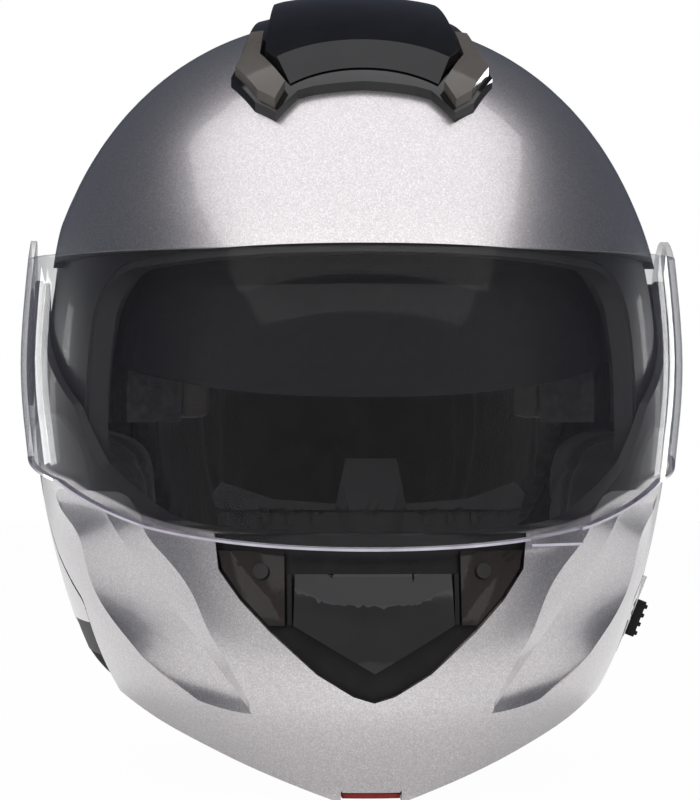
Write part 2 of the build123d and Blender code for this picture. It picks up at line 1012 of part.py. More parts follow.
def button_space():
    """The room that the button needs from pressed in to sprung out."""
    space = button_body(button_gap, button_gap, button_travel)
    down = block(
        (-button_half_width - button_gap, button_half_width + button_gap),
        (far_front, -button_back + button_gap),
        (far_down, -base_depth + button_lift),
    )
    return space + down


def spring_place():
    return -base_depth + button_lift + (button_height + button_lip_height) / 2


def button_case():
    half = button_half_width + button_gap + case_wall
    low = -base_depth + button_lift
    top = low + button_height + button_gap + case_wall
    case = block((-half, half), (-button_lip_back, -case_back), (low, top)) & chin_form()
    face = Pos(0, spring_place()) * Circle(spring_radius + seat_gap)
    bore = along(face, -button_back, -case_back - case_wall)
    return one_solid(case - button_space() - bore)


def button_spring():
    ring_face = Pos(0, spring_place()) * (Circle(spring_radius) - Circle(spring_bore))
    return one_solid(along(ring_face, -button_back + button_gap / 2, -case_back - case_wall - seat_gap))


def latch_pin():
    y = -pawl_pivot_front
    z = -pawl_pivot_drop
    bar = rod(pawl_pin_radius, pawl_in - seat_gap, far_side, y, z)
    return one_solid(bar & chin_form(-pawl_pin_seat))


def latch_pawl():
    """The pawl, turned down out of the striker's way."""
    face = polygon([(y * pawl_reach, z * pawl_reach) for y, z in pawl_shares])
    face += Circle(pawl_eye_radius)
    face -= Circle(pawl_pin_radius + running_gap)
    face = Pos(-pawl_pivot_front, -pawl_pivot_drop) * Rot(0, 0, -pawl_travel) * face
    return one_solid(across(face, pawl_in, pawl_in + pawl_thickness))


def striker():
    y = -striker_front
    z = -striker_drop
    pin = rod(striker_radius, striker_in, striker_block_out, y, z)
    tab = block(
        (striker_block_in, striker_block_out),
        (y - striker_block_half, y + striker_block_half),
        (-rim_side_height - striker_block_height, -rim_side_height),
    )
    return one_solid(pin + tab)


# Sun visor control


def track_plane():
    turn = math.radians(track_lean)
    normal = (math.cos(turn), 0, -math.sin(turn))
    return Plane(origin=(track_out, -track_back, -track_drop), x_dir=(0, 1, 0), z_dir=normal)


def slider_track():
    deep = 2 * track_thickness
    plate = Box(track_width, track_length, track_thickness + deep)
    return one_solid(track_plane().offset((track_thickness - deep) / 2) * plate - outer)


def sun_visor_knob():
    base = track_thickness + slide_gap
    knob = Pos(0, -knob_place, base + knob_height / 2) * Box(knob_width, knob_length, knob_height)
    pitch = knob_length / knob_ribs
    for k in range(knob_ribs):
        v = -knob_place + (k + 1 / 2) * pitch - knob_length / 2
        rib = Box(knob_width, knob_rib_width, knob_rib_height)
        knob += Pos(0, v, base + knob_height + knob_rib_height / 2) * rib
    return one_solid(track_plane() * knob)


# Chin strap


def ribbon(points, thickness):
    """A flat outline that follows points at an even thickness."""
    near, away = [], []
    for k, point in enumerate(points):
        before = Vector(*points[max(k - 1, 0)])
        after = Vector(*points[min(k + 1, len(points) - 1)])
        run = (after - before).normalized()
        aside = Vector(-run.Y, run.X) * (thickness / 2)
        near.append((point[0] + aside.X, point[1] + aside.Y))
        away.append((point[0] - aside.X, point[1] - aside.Y))
    return polygon([*near, *reversed(away)])


def chin_strap(end_x):
    course = [(x * shell_half_width, z * crown_height) for x, z in strap_shares]
    course += [(end_x + strap_width / 2, -buckle_drop), (end_x, -buckle_drop)]
    wide = (strap_back - strap_width / 2, strap_back + strap_width / 2)
    return one_solid(along(ribbon(course, strap_thickness), *wide))


def strap_anchor():
    inner_x = strap_shares[0][0] * shell_half_width + strap_thickness
    disc_rod = rod(anchor_radius, inner_x, far_side, strap_back, -anchor_drop)
    return one_solid(disc_rod & form(recess_shares, shell_wall))


def buckle_housing():
    half = buckle_length / 2
    wide = (strap_back - buckle_width / 2, strap_back + buckle_width / 2)
    tall = (-buckle_drop - buckle_height / 2, -buckle_drop + buckle_height / 2)
    case = block((-half, half), wide, tall)
    hollow = block(
        (-half, half - buckle_wall),
        (wide[0] + buckle_wall, wide[1] - buckle_wall),
        (far_down, tall[1] - buckle_wall),
    )
    pin = lever_pin()
    return one_solid(case - hollow - pin)


def lever_pin_place():
    x = buckle_length / 2 - 2 * buckle_wall - lever_pin_radius
    return x, -buckle_drop - buckle_height / 2 + lever_pin_radius + buckle_wall / 2


def lever_pin():
    wide = (strap_back - buckle_width / 2, strap_back + buckle_width / 2)
    return one_solid(along(Pos(*lever_pin_place()) * Circle(lever_pin_radius), *wide))


def buckle_lever():
    pin_x, pin_z = lever_pin_place()
    low = pin_z - lever_pin_radius - lever_thickness / 2
    half = buckle_width / 2 - buckle_wall - slide_gap
    wide = (strap_back - half, strap_back + half)
    plate = block((pin_x - lever_length, pin_x), wide, (low, low + lever_thickness))
    eye = along(Pos(pin_x, pin_z) * Circle(lever_pin_radius + lever_thickness / 2), *wide)
    hole = along(Pos(pin_x, pin_z) * Circle(lever_pin_radius + running_gap))
    return one_solid(plate + eye - hole)


def buckle_tongue():
    end = -tongue_out
    low = -buckle_drop - tongue_thickness / 2
    wide = (strap_back - tongue_width / 2, strap_back + tongue_width / 2)
    return one_solid(block((end, end + tongue_length), wide, (low, low + tongue_thickness)))


# Shield


def shield_lens():
    band = (shield_form() - shield_form(shield_thickness)) & across(shield_outline())
    tab = front_prism(Pos(tab_place, -tab_drop) * Rectangle(tab_width, tab_height))
    tab = (shield_form(-tab_reach) & tab) - shield_form(shield_thickness / 2)
    return one_solid(band + tab)


def shield_cap():
    cap_in = arm_out + shield_cap_gap
    cap = rod(shield_cap_radius, cap_in, far_side, 0, pivot_height) & shield_form(shield_thickness)
    return one_solid(cap - rod(pod_boss_radius + running_gap, 0, far_side, 0, pivot_height))


def pairs():
    """Pieces that stand once on each side, from their right hand form."""
    return {
        "pivot_plate": pivot_plate(),
        "cheek_pad": cheek_pad(),
        "top_vent_corner": top_vent_corner(),
        "chin_vent_lens": chin_vent_lens(),
        "shield_pod": shield_cap(),
        "latch_pawl": latch_pawl(),
    }


def single_pieces():
    return {
        "outer_shell": outer_shell(),
        "shell_edge_trim": shell_edge_trim(),
        "eye_port_seal": eye_port_seal(),
        "impact_liner": impact_liner(),
        "crown_liner": crown_liner(),
        "neck_roll": neck_roll(),
        "top_vent_housing": top_vent_housing(),
        "top_vent_slider": top_vent_slider(),
        "rear_vent_housing": rear_vent_housing(),
        "rear_vent_mesh": rear_vent_mesh(),
        "chin_bar_shell": chin_bar_shell(),
        "chin_bar_foam": chin_bar_foam(),
        "chin_bar_lining": chin_bar_lining(),
        "chin_curtain": chin_curtain(),
        "breath_guard": breath_guard(),
        "chin_vent_frame": chin_vent_frame(),
        "chin_vent_slider": chin_vent_slider(),
        "chin_vent_screws": both_sides(chin_vent_screw()),
        "release_button": release_button(),
        "button_case": button_case(),
        "button_spring": button_spring(),
        "latch_pins": both_sides(latch_pin()),
        "latch_strikers": both_sides(striker()),
        "pivot_bolts": both_sides(pivot_bolt()),
        "face_shield": shield_lens(),
        "sun_visor": sun_visor(),
        "sun_visor_pins": both_sides(sun_visor_pin()),
        "sun_visor_track": slider_track(),
        "sun_visor_knob": sun_visor_knob(),
        "strap_anchors": both_sides(strap_anchor()),
        "chin_strap_left": chin_strap(buckle_length / 2),
        "chin_strap_right": mirrored(chin_strap(tongue_out)),
        "buckle_housing": buckle_housing(),
        "buckle_lever": buckle_lever(),
        "buckle_lever_pin": lever_pin(),
        "buckle_tongue": buckle_tongue(),
    }


def write(name, piece):
    export_step(Pos(0, 0, base_depth) * piece, f"parts/{name}.step")


os.makedirs("parts", exist_ok=True)
for name, piece in single_pieces().items():
    write(name, piece)
for name, piece in pairs().items():
    write(f"{name}_left", piece)
    write(f"{name}_right", mirrored(piece))
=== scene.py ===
import math

import bmesh
import bpy
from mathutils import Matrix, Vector


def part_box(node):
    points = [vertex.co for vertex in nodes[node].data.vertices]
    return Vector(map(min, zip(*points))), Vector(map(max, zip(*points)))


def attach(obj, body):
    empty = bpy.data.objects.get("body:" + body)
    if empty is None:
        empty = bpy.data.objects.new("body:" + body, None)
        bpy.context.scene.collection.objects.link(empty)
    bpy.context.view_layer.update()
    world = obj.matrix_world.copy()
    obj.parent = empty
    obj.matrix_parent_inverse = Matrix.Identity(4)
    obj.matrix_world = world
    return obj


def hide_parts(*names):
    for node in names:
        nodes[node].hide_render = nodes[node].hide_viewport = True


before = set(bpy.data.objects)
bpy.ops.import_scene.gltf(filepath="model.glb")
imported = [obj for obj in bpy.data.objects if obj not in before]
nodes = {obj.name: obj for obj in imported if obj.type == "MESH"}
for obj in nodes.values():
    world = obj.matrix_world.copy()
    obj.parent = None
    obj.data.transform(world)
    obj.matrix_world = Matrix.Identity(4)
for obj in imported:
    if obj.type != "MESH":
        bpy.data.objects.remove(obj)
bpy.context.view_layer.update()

# A flip-front motorcycle helmet in silver metallic paint. Lengths are in metres,
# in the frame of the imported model: +X to the wearer's left, -Y the front, +Z up.

MM = 0.001

# The body is near black behind the shield: below the brow, in front of the
# band's end, above a line that falls from back to front, and under the pods
PIVOT_HEIGHT = 0.157
BROW_HEIGHT = 0.1900
BAND_END = -0.002
POD_RADIUS = 0.0468
PAINT_BLEND = 0.0006
BAND_BLEND = 0.0012
LINE_FRONT = -0.200
LOWER_LINE = ((0.0, 0.080), (0.34, 0.0935), (0.605, 0.1083), (1.0, 0.117))

# Lining cushions and seams
CLOTH_STEPS = 20
DEEPEST_SEAM = 0.0022
SHORTEST_SEAM_POINTS = 12


# Finishes


class Finish:
    """A material made from nodes, with the few joins that each finish needs."""

    def __init__(self, name, color, roughness, metallic=0.0, **sockets):
        self.material = bpy.data.materials.new(name)
        self.material.use_nodes = True
        self.tree = self.material.node_tree
        self.shader = self.tree.nodes["Principled BSDF"]
        self.set(self.shader, **{"Base Color": (*color, 1.0), "Roughness": roughness, "Metallic": metallic})
        self.set(self.shader, **sockets)
        self.place = self.tree.nodes.new("ShaderNodeTexCoord").outputs["Object"]
        self.bump = None

    def set(self, node, **sockets):
        for name, value in sockets.items():
            node.inputs[name.replace("_", " ")].default_value = value

    def add(self, kind, **settings):
        node = self.tree.nodes.new("ShaderNode" + kind)
        for name, value in settings.items():
            setattr(node, name, value)
        return node

    def join(self, output, socket):
        self.tree.links.new(output, socket)

    def stretched(self, scale):
        """Object coordinates scaled for a pattern that runs one way."""
        mapping = self.add("Mapping")
        mapping.inputs["Scale"].default_value = scale
        self.join(self.place, mapping.inputs["Vector"])
        return mapping.outputs["Vector"]

    def noise(self, scale, detail=3.0, rough=0.5, vector=None):
        node = self.add("TexNoise")
        self.set(node, Scale=scale, Detail=detail, Roughness=rough)
        self.join(vector or self.place, node.inputs["Vector"])
        return node.outputs["Fac"]

    def cells(self, scale, output="Distance"):
        node = self.add("TexVoronoi", feature="F1")
        self.set(node, Scale=scale)
        self.join(self.place, node.inputs["Vector"])
        return node.outputs[output]

    def waves(self, scale, distortion, direction):
        node = self.add("TexWave", bands_direction=direction)
        self.set(node, Scale=scale, Distortion=distortion)
        self.join(self.place, node.inputs["Vector"])
        return node.outputs["Fac"]

    def ramp(self, value, stops):
        node = self.add("ValToRGB")
        spots = node.color_ramp.elements
        while len(spots) < len(stops):
            spots.new(0.5)
        for spot, (place, color) in zip(spots, stops):
            spot.position = place
            spot.color = (*color, 1.0) if len(color) == 3 else (color[0],) * 3 + (1.0,)
        self.join(value, node.inputs["Fac"])
        return node.outputs["Color"]

    def colored(self, value, stops):
        self.join(self.ramp(value, stops), self.shader.inputs["Base Color"])
        return self

    def roughened(self, value, low, high):
        self.join(self.ramp(value, ((0.0, (low,)), (1.0, (high,)))), self.shader.inputs["Roughness"])
        return self

    def raised(self, height, depth, strength=1.0):
        """Adds relief of that depth, in metres, on top of any relief so far."""
        node = self.add("Bump")
        self.set(node, Strength=strength, Distance=depth)
        self.join(height, node.inputs["Height"])
        if self.bump:
            self.join(self.bump, node.inputs["Normal"])
        self.bump = node.outputs["Normal"]
        self.join(self.bump, self.shader.inputs["Normal"])
        return self


def behind_shield(f, dome):
    """1 where the body is coloured near black: behind the shield's band and its round pods."""
    split = f.add("SeparateXYZ")
    f.join(f.place, split.inputs["Vector"])
    along, up = split.outputs["Y"], split.outputs["Z"]

    def step(value, low, high):
        node = f.add("MapRange")
        node.inputs["From Min"].default_value = low
        node.inputs["From Max"].default_value = high
        f.join(value, node.inputs["Value"])
        return node.outputs["Result"]

    def sums(kind, first, second):
        node = f.add("Math", operation=kind)
        for socket, value in zip(node.inputs, (first, second)):
            if isinstance(value, float):
                socket.default_value = value
            else:
                f.join(value, socket)
        return node.outputs["Value"]

    stops = tuple((place, (height,)) for place, height in LOWER_LINE)
    lower = f.ramp(step(along, LINE_FRONT, 0.0), stops)
    above = step(sums("SUBTRACT", up, lower), 0.0, BAND_BLEND)
    if not dome:
        return above
    below = step(up, BROW_HEIGHT, BROW_HEIGHT - 0.7 * MM)
    front = step(along, BAND_END, BAND_END - 2.0 * MM)
    band = sums("MULTIPLY", sums("MULTIPLY", above, below), front)
    across = sums("POWER", along, 2.0)
    rise = sums("POWER", sums("SUBTRACT", up, PIVOT_HEIGHT), 2.0)
    pod = step(sums("ADD", across, rise), POD_RADIUS**2, (POD_RADIUS - PAINT_BLEND) ** 2)
    return sums("MAXIMUM", band, pod)


def silver_lacquer(name, dome):
    metallic, roughness = 0.95, 0.32
    f = Finish(
        name, (0.60, 0.575, 0.58), roughness, metallic,
        Coat_Weight=1.0, Coat_Roughness=0.03, Coat_IOR=1.5,
    )
    flakes = f.cells(2600.0, "Color")
    darkest, middle, lightest = (0.54, 0.52, 0.525), (0.66, 0.635, 0.64), (0.86, 0.83, 0.835)
    paint = f.ramp(flakes, ((0.0, darkest), (0.55, middle), (1.0, lightest)))
    black_zone = behind_shield(f, dome)
    # Near black, with no metal, a rougher face and little coat behind the shield's band and pods.
    blend = f.add("MixRGB")
    blend.inputs["Color2"].default_value = (0.012, 0.012, 0.013, 1.0)
    f.join(black_zone, blend.inputs["Fac"])
    f.join(paint, blend.inputs["Color1"])
    f.join(blend.outputs["Color"], f.shader.inputs["Base Color"])
    changes = (("Metallic", metallic, 0.0), ("Roughness", roughness, 0.42), ("Coat Weight", 1.0, 0.1))
    for socket, painted, black_zone_value in changes:
        f.join(f.ramp(black_zone, ((0.0, (painted,)), (1.0, (black_zone_value,)))), f.shader.inputs[socket])
    f.raised(flakes, 0.00004, 0.3)
    return f.material


def smooth_black():
    f = Finish("smooth_black", (0.007, 0.007, 0.008), 0.08, Specular_IOR_Level=0.45)
    f.raised(f.noise(900.0), 0.00001, 0.2)
    f.colored(f.noise(60.0), ((0.3, (0.005, 0.005, 0.006)), (0.7, (0.009, 0.009, 0.010))))
    return f.material


def moulded_black():
    f = Finish("moulded_black", (0.010, 0.010, 0.011), 0.42, Specular_IOR_Level=0.2)
    f.colored(f.noise(120.0, 5.0), ((0.3, (0.008, 0.008, 0.009)), (0.7, (0.014, 0.014, 0.015))))
    f.roughened(f.noise(400.0), 0.34, 0.52)
    f.raised(f.cells(1700.0), 0.00006, 0.5)
    return f.material


def smoked_lens(name, tint, clearness):
    f = Finish(name, tint, 0.08, Transmission_Weight=clearness, IOR=1.45, Specular_IOR_Level=0.2)
    f.raised(f.noise(300.0), 0.00002, 0.2)
    f.colored(f.noise(40.0), ((0.3, tuple(0.85 * c for c in tint)), (0.7, tuple(1.15 * c for c in tint))))
    return f.material


def clear_shield():
    f = Finish("clear_shield", (0.10, 0.10, 0.115), 0.015, IOR=1.49, Specular_IOR_Level=1.0)
    edge = f.add("LayerWeight")
    edge.inputs["Blend"].default_value = 0.35
    facing = edge.outputs["Facing"]
    see = f.ramp(facing, ((0.0, (0.07,)), (0.45, (0.14,)), (0.80, (0.45,)), (1.0, (0.85,))))
    f.join(see, f.shader.inputs["Alpha"])
    # Painted reflection: the base colour grows pale lavender towards the edges, where the shield turns away
    # from the eye, standing in for the bright room mirrored at grazing angles.
    flat, turned = (0.05, 0.05, 0.055), (0.10, 0.10, 0.115)
    steep_reflection_color, edge_on_reflection_color = (0.55, 0.55, 0.62), (0.7, 0.7, 0.78)
    f.colored(facing, ((0.0, flat), (0.55, turned), (0.9, steep_reflection_color), (1.0, edge_on_reflection_color)))
    f.raised(f.noise(25.0), 0.00002, 0.1)
    return f.material


def polished_rim():
    # Painted highlight: a pale lavender colour standing in for the bright line of light along the shield's
    # lower edge.
    f = Finish("polished_rim", (0.70, 0.67, 0.76), 0.2, Coat_Weight=0.5)
    f.colored(f.noise(80.0), ((0.3, (0.60, 0.57, 0.66)), (0.7, (0.82, 0.79, 0.88))))
    f.raised(f.noise(200.0), 0.00002, 0.2)
    return f.material


def tinted_sun_lens():
    f = Finish("tinted_sun_lens", (0.012, 0.012, 0.014), 0.05, Specular_IOR_Level=0.2)
    f.shader.inputs["Alpha"].default_value = 0.80
    f.raised(f.noise(20.0), 0.00002, 0.1)
    return f.material


def edge_rubber():
    f = Finish("edge_rubber", (0.012, 0.012, 0.012), 0.55)
    f.roughened(f.noise(300.0, 4.0), 0.45, 0.68)
    f.raised(f.noise(1200.0), 0.00005, 0.5)
    return f.material


def beaded_foam():
    f = Finish("beaded_foam", (0.02, 0.02, 0.022), 0.75)
    beads = f.cells(330.0)
    f.colored(beads, ((0.0, (0.035, 0.035, 0.037)), (0.8, (0.012, 0.012, 0.013))))
    f.raised(beads, 0.0004, 0.6)
    return f.material


def lining_knit():
    f = Finish("lining_knit", (0.055, 0.046, 0.040), 0.9, Sheen_Weight=0.5, Sheen_Roughness=0.5)
    loops = f.cells(650.0)
    f.colored(f.noise(55.0, 5.0), ((0.3, (0.036, 0.030, 0.027)), (0.7, (0.078, 0.066, 0.058))))
    f.raised(loops, 0.00035, 0.5)
    f.raised(f.noise(90.0, 4.0), 0.0007, 0.4)
    return f.material


def black_mesh_cloth():
    f = Finish("black_mesh_cloth", (0.016, 0.015, 0.015), 0.85, Sheen_Weight=0.3)
    holes = f.cells(420.0)
    f.colored(holes, ((0.1, (0.003, 0.003, 0.003)), (0.35, (0.022, 0.021, 0.021))))
    f.raised(holes, 0.0004, 0.8)
    return f.material


def strap_webbing():
    f = Finish("strap_webbing", (0.012, 0.012, 0.013), 0.8, Sheen_Weight=0.4)
    across = f.waves(260.0, 1.0, "Y")
    f.colored(across, ((0.2, (0.006, 0.006, 0.006)), (0.8, (0.024, 0.024, 0.025))))
    f.raised(across, 0.0003, 0.7)
    f.raised(f.waves(420.0, 2.0, "Z"), 0.0002, 0.5)
    return f.material


def turned_steel():
    f = Finish("turned_steel", (0.45, 0.45, 0.46), 0.3, 1.0)
    brushed = f.noise(900.0, 3.0, vector=f.stretched((0.2, 1.0, 1.0)))
    f.roughened(brushed, 0.22, 0.42)
    f.raised(brushed, 0.00003, 0.4)
    return f.material


def blackened_screw():
    f = Finish("blackened_screw", (0.015, 0.015, 0.016), 0.35, 0.2)
    f.roughened(f.noise(500.0), 0.25, 0.45)
    f.raised(f.noise(900.0), 0.00004, 0.3)
    return f.material


def red_button():
    f = Finish("red_button", (0.62, 0.035, 0.03), 0.4)
    f.colored(f.noise(200.0), ((0.3, (0.55, 0.028, 0.025)), (0.7, (0.70, 0.045, 0.038))))
    f.raised(f.noise(900.0), 0.00004, 0.4)
    return f.material


finishes = {
    "silver": silver_lacquer("silver_lacquer", True),
    "chin_silver": silver_lacquer("chin_bar_lacquer", False),
    "gloss": smooth_black(),
    "black": moulded_black(),
    "smoked": smoked_lens("smoked_lens", (0.030, 0.024, 0.021), 0.25),
    "smoke_pale": smoked_lens("pale_smoked_lens", (0.16, 0.145, 0.13), 0.35),
    "clear": clear_shield(),
    "rim": polished_rim(),
    "sun": tinted_sun_lens(),
    "rubber": edge_rubber(),
    "foam": beaded_foam(),
    "knit": lining_knit(),
    "mesh": black_mesh_cloth(),
    "webbing": strap_webbing(),
    "steel": turned_steel(),
    "screw": blackened_screw(),
    "red": red_button(),
}

node_finish = {
    "silver": ("outer_shell", "sun_visor_track"),
    "chin_silver": ("chin_bar_shell",),
    "gloss": ("top_vent_slider", "chin_vent_slider", "top_vent_housing"),
    "black": (
        "rear_vent_housing", "pivot_plate_left", "pivot_plate_right",
        "sun_visor_knob", "breath_guard", "chin_vent_frame", "button_case",
        "shield_pod_left", "shield_pod_right",
    ),
    "smoked": ("chin_vent_lens_left", "chin_vent_lens_right"),
    "smoke_pale": ("top_vent_corner_left", "top_vent_corner_right"),
    "clear": ("face_shield",),
    "sun": ("sun_visor",),
    "rubber": ("shell_edge_trim", "eye_port_seal"),
    "foam": ("impact_liner", "chin_bar_foam"),
    "knit": ("crown_liner", "cheek_pad_left", "cheek_pad_right", "neck_roll", "chin_bar_lining"),
    "mesh": ("rear_vent_mesh", "chin_curtain"),
    "webbing": ("chin_strap_left", "chin_strap_right"),
    "steel": (
        "latch_strikers", "sun_visor_pins", "strap_anchors", "buckle_housing", "buckle_lever_pin",
        "buckle_tongue", "button_spring", "latch_pins", "latch_pawl_left", "latch_pawl_right", "buckle_lever",
        "pivot_bolts",
    ),
    "screw": ("chin_vent_screws",),
    "red": ("release_button",),
}
for finish, names in node_finish.items():
    for name in names:
        slots = nodes[name].data.materials
        slots.clear()
        slots.append(finishes[finish])


# Soft pieces, each shaped from the solid that it stands for


def linked(name, mesh, finish):
    piece = bpy.data.objects.new(name, mesh)
    bpy.context.scene.collection.objects.link(piece)
    mesh.materials.clear()
    mesh.materials.append(finishes[finish])
    return piece


def merged_copy(node, name, finish):
    """A node's surface as one joined skin under a new name."""
    bm = bmesh.new()
    bm.from_mesh(nodes[node].data)
    bmesh.ops.remove_doubles(bm, verts=bm.verts, dist=0.01 * MM)
    bmesh.ops.recalc_face_normals(bm, faces=bm.faces)
    mesh = bpy.data.meshes.new(name)
    bm.to_mesh(mesh)
    bm.free()
    return linked(name, mesh, finish)


def settle(piece, smooth=True):
    """Makes a piece's modifiers part of its mesh."""
    graph = bpy.context.evaluated_depsgraph_get()
    mesh = bpy.data.meshes.new_from_object(piece.evaluated_get(graph))
    piece.modifiers.clear()
    piece.data = mesh
    if smooth:
        mesh.shade_smooth()


def inflate(piece, cap, pressure=4.0):
    """Swells a pad with cloth under pressure, no point moving further than cap."""
    scene = bpy.context.scene
    cloth = piece.modifiers.new("cloth", "CLOTH")
    cloth.settings.use_pressure = True
    cloth.settings.uniform_pressure_force = pressure
    cloth.settings.quality = 5
    cloth.settings.effector_weights.gravity = 0.0
    cloth.collision_settings.use_collision = False
    cloth.collision_settings.use_self_collision = False
    for step in range(1, CLOTH_STEPS + 1):
        scene.frame_set(step)
    graph = bpy.context.evaluated_depsgraph_get()
    swollen = piece.evaluated_get(graph).data
    for vert, moved in zip(piece.data.vertices, swollen.vertices):
        shift = moved.co - vert.co
        if shift.length > cap:
            shift *= cap / shift.length
        vert.co += shift
    piece.modifiers.clear()
    scene.frame_set(1)


def padded_from(node, name, body, voxel, finish="knit", cap=0.0, shrink=0.0, channels=()):
    """A stuffed piece: the node's form rounded off, puffed up, and sewn in along its channels."""
    piece = merged_copy(node, name, finish)
    remesh = piece.modifiers.new("remesh", "REMESH")
    remesh.mode = "VOXEL"
    remesh.voxel_size = voxel
    rounding = piece.modifiers.new("rounding", "SMOOTH")
    rounding.factor = 0.5
    rounding.iterations = 6
    settle(piece)
    if shrink:
        bm = bmesh.new()
        bm.from_mesh(piece.data)
        bm.normal_update()
        for vert in bm.verts:
            vert.co -= vert.normal * shrink
        bm.to_mesh(piece.data)
        bm.free()
    if cap:
        inflate(piece, cap)
    finer = piece.modifiers.new("finer", "SUBSURF")
    finer.levels = 1
    finer.render_levels = 1
    settle(piece)
    sew_in(piece, channels)
    piece.data.materials.clear()
    piece.data.materials.append(finishes[finish])
    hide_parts(node)
    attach(piece, body)
    return piece


def sew_in(piece, channels):
    """Draws the surface in along each channel: a plane's point and normal, its width and its depth."""
    bm = bmesh.new()
    bm.from_mesh(piece.data)
    bm.normal_update()
    moves = []
    for vert in bm.verts:
        draw = 0.0
        for point, normal, width, depth in channels:
            off = (vert.co - Vector(point)).dot(Vector(normal).normalized())
            draw += depth * math.exp(-((off / width) ** 2))
        moves.append(vert.normal * min(draw, DEEPEST_SEAM))
    for vert, move in zip(bm.verts, moves):
        vert.co -= move
    bm.to_mesh(piece.data)
    bm.free()
    piece.data.shade_smooth()


def make_linings():
    pad_channels = (
        ((0, -0.036, 0), (0, 1, 0.25), 0.0016, 0.0016),
        ((0, 0, 0.094), (0, 0.3, 1), 0.0016, 0.0016),
    )
    for side in ("left", "right"):
        padded_from(
            f"cheek_pad_{side}", f"cheek_cushion_{side}", "shell", 0.004,
            cap=0.003, shrink=0.0016, channels=pad_channels,
        )
    crown_channels = tuple(((x, 0, 0), (1, 0, 0), 0.002, 0.0014) for x in (-0.045, 0.0, 0.045))
    crown_channels += tuple(((0, y, 0), (0, 1, 0), 0.002, 0.0014) for y in (-0.055, 0.03, 0.095))
    padded_from("crown_liner", "crown_cushion", "shell", 0.0045, channels=crown_channels)
    roll_channels = tuple(((0, y, 0), (0, 1, 0), 0.002, 0.0018) for y in (-0.03, 0.01, 0.05))
    padded_from("neck_roll", "neck_cushion", "shell", 0.004, channels=roll_channels)
    lining_channels = tuple(((x, 0, 0), (1, 0, 0), 0.0015, 0.0012) for x in (-0.03, 0.03))
    padded_from("chin_bar_lining", "chin_cushion", "chin_bar", 0.003, channels=lining_channels)


def webbing_from(node, name):
    """A strap of flat webbing along the node's course, its corners eased."""
    piece = merged_copy(node, name, "webbing")
    bm = bmesh.new()
    bm.from_mesh(piece.data)
    bmesh.ops.dissolve_limit(bm, angle_limit=math.radians(1.0), verts=bm.verts, edges=bm.edges)
    sharp = [e for e in bm.edges if e.is_manifold and e.calc_face_angle() > math.radians(60)]
    bmesh.ops.bevel(bm, geom=sharp, offset=0.0004, segments=2, profile=0.5, affect="EDGES", material=-1)
    bm.to_mesh(piece.data)
    bm.free()
    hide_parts(node)
    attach(piece, "shell")


def curtain_from(node, name):
    piece = merged_copy(node, name, "mesh")
    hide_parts(node)
    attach(piece, "chin_bar")


make_linings()
webbing_from("chin_strap_left", "strap_webbing_left")
webbing_from("chin_strap_right", "strap_webbing_right")
curtain_from("chin_curtain", "chin_wind_cloth")


# Rigid pieces with finer form than the solids that they stand for


def crease(bm, point, normal):
    """Cuts an edge round the piece where the plane meets it."""
    geometry = [*bm.verts, *bm.edges, *bm.faces]
    bmesh.ops.bisect_plane(
        bm, geom=geometry, dist=0.001 * MM, plane_co=Vector(point), plane_no=Vector(normal),
    )


def front_points(bm):
    """The corners of the faces that look forward, slivers left out."""
    bm.normal_update()
    front = [face for face in bm.faces if face.normal.y < -0.6 and face.calc_area() > 0.002 * MM * MM]
    return {vert for face in front for vert in face.verts}


def finer(node, name, finish, slot, body, shape=None, edge=0.0, sharpness=35.0):
    """A copy of a node, pressed to shape where one is given, with sharp edges rounded off by edge."""
    piece = merged_copy(node, name, finish)
    bm = bmesh.new()
    bm.from_mesh(piece.data)
    if shape:
        shape(bm)
        bmesh.ops.dissolve_degenerate(bm, dist=0.05 * MM, edges=bm.edges)
        bmesh.ops.recalc_face_normals(bm, faces=bm.faces)
    if edge:
        bmesh.ops.dissolve_limit(bm, angle_limit=math.radians(1.0), verts=bm.verts, edges=bm.edges)
        sharp = [e for e in bm.edges if e.is_manifold and e.calc_face_angle() > math.radians(sharpness)]
        bmesh.ops.bevel(bm, geom=sharp, offset=edge, segments=3, profile=0.5, affect="EDGES", material=-1)
    bm.to_mesh(piece.data)
    bm.free()
    piece.data.shade_smooth()
    piece.data.set_sharp_from_angle(angle=math.radians(sharpness))
    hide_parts(node)
    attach(piece, body)
    return piece


def lean_cover(bm):
    """Leans the vent cover's upper slope back from a line that rises at both ends."""
    low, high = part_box("chin_vent_slider")
    foot = high[2] - 9.8 * MM
    flat = 14.0 * MM
    climb = 6.1 * MM / (high[0] - flat)
    crease(bm, (0, 0, foot), (0, 0, 1))
    for side in (-1, 1):
        crease(bm, (side * flat, 0, foot), (-side * climb, 0, 1))
        crease(bm, (side * flat, 0, foot), (1, 0, 0))
    for vert in front_points(bm):
        above = vert.co.z - foot - climb * max(0.0, abs(vert.co.x) - flat)
        vert.co.y += 0.36 * max(0.0, above)


def fold_plate(side):
    """Folds a lens plate along its slanting crease and stands its outer part out."""
    upper, lower = Vector((side * 0.0475, 0, 0.0849)), Vector((side * 0.0311, 0, 0.0636))
    along = (lower - upper).normalized()
    outward = Vector((-along.z, 0, along.x)) * side

    def shape(bm):
        crease(bm, upper, outward)
        for vert in front_points(bm):
            vert.co.y -= 0.16 * max(0.0, (vert.co - upper).dot(outward))

    return shape


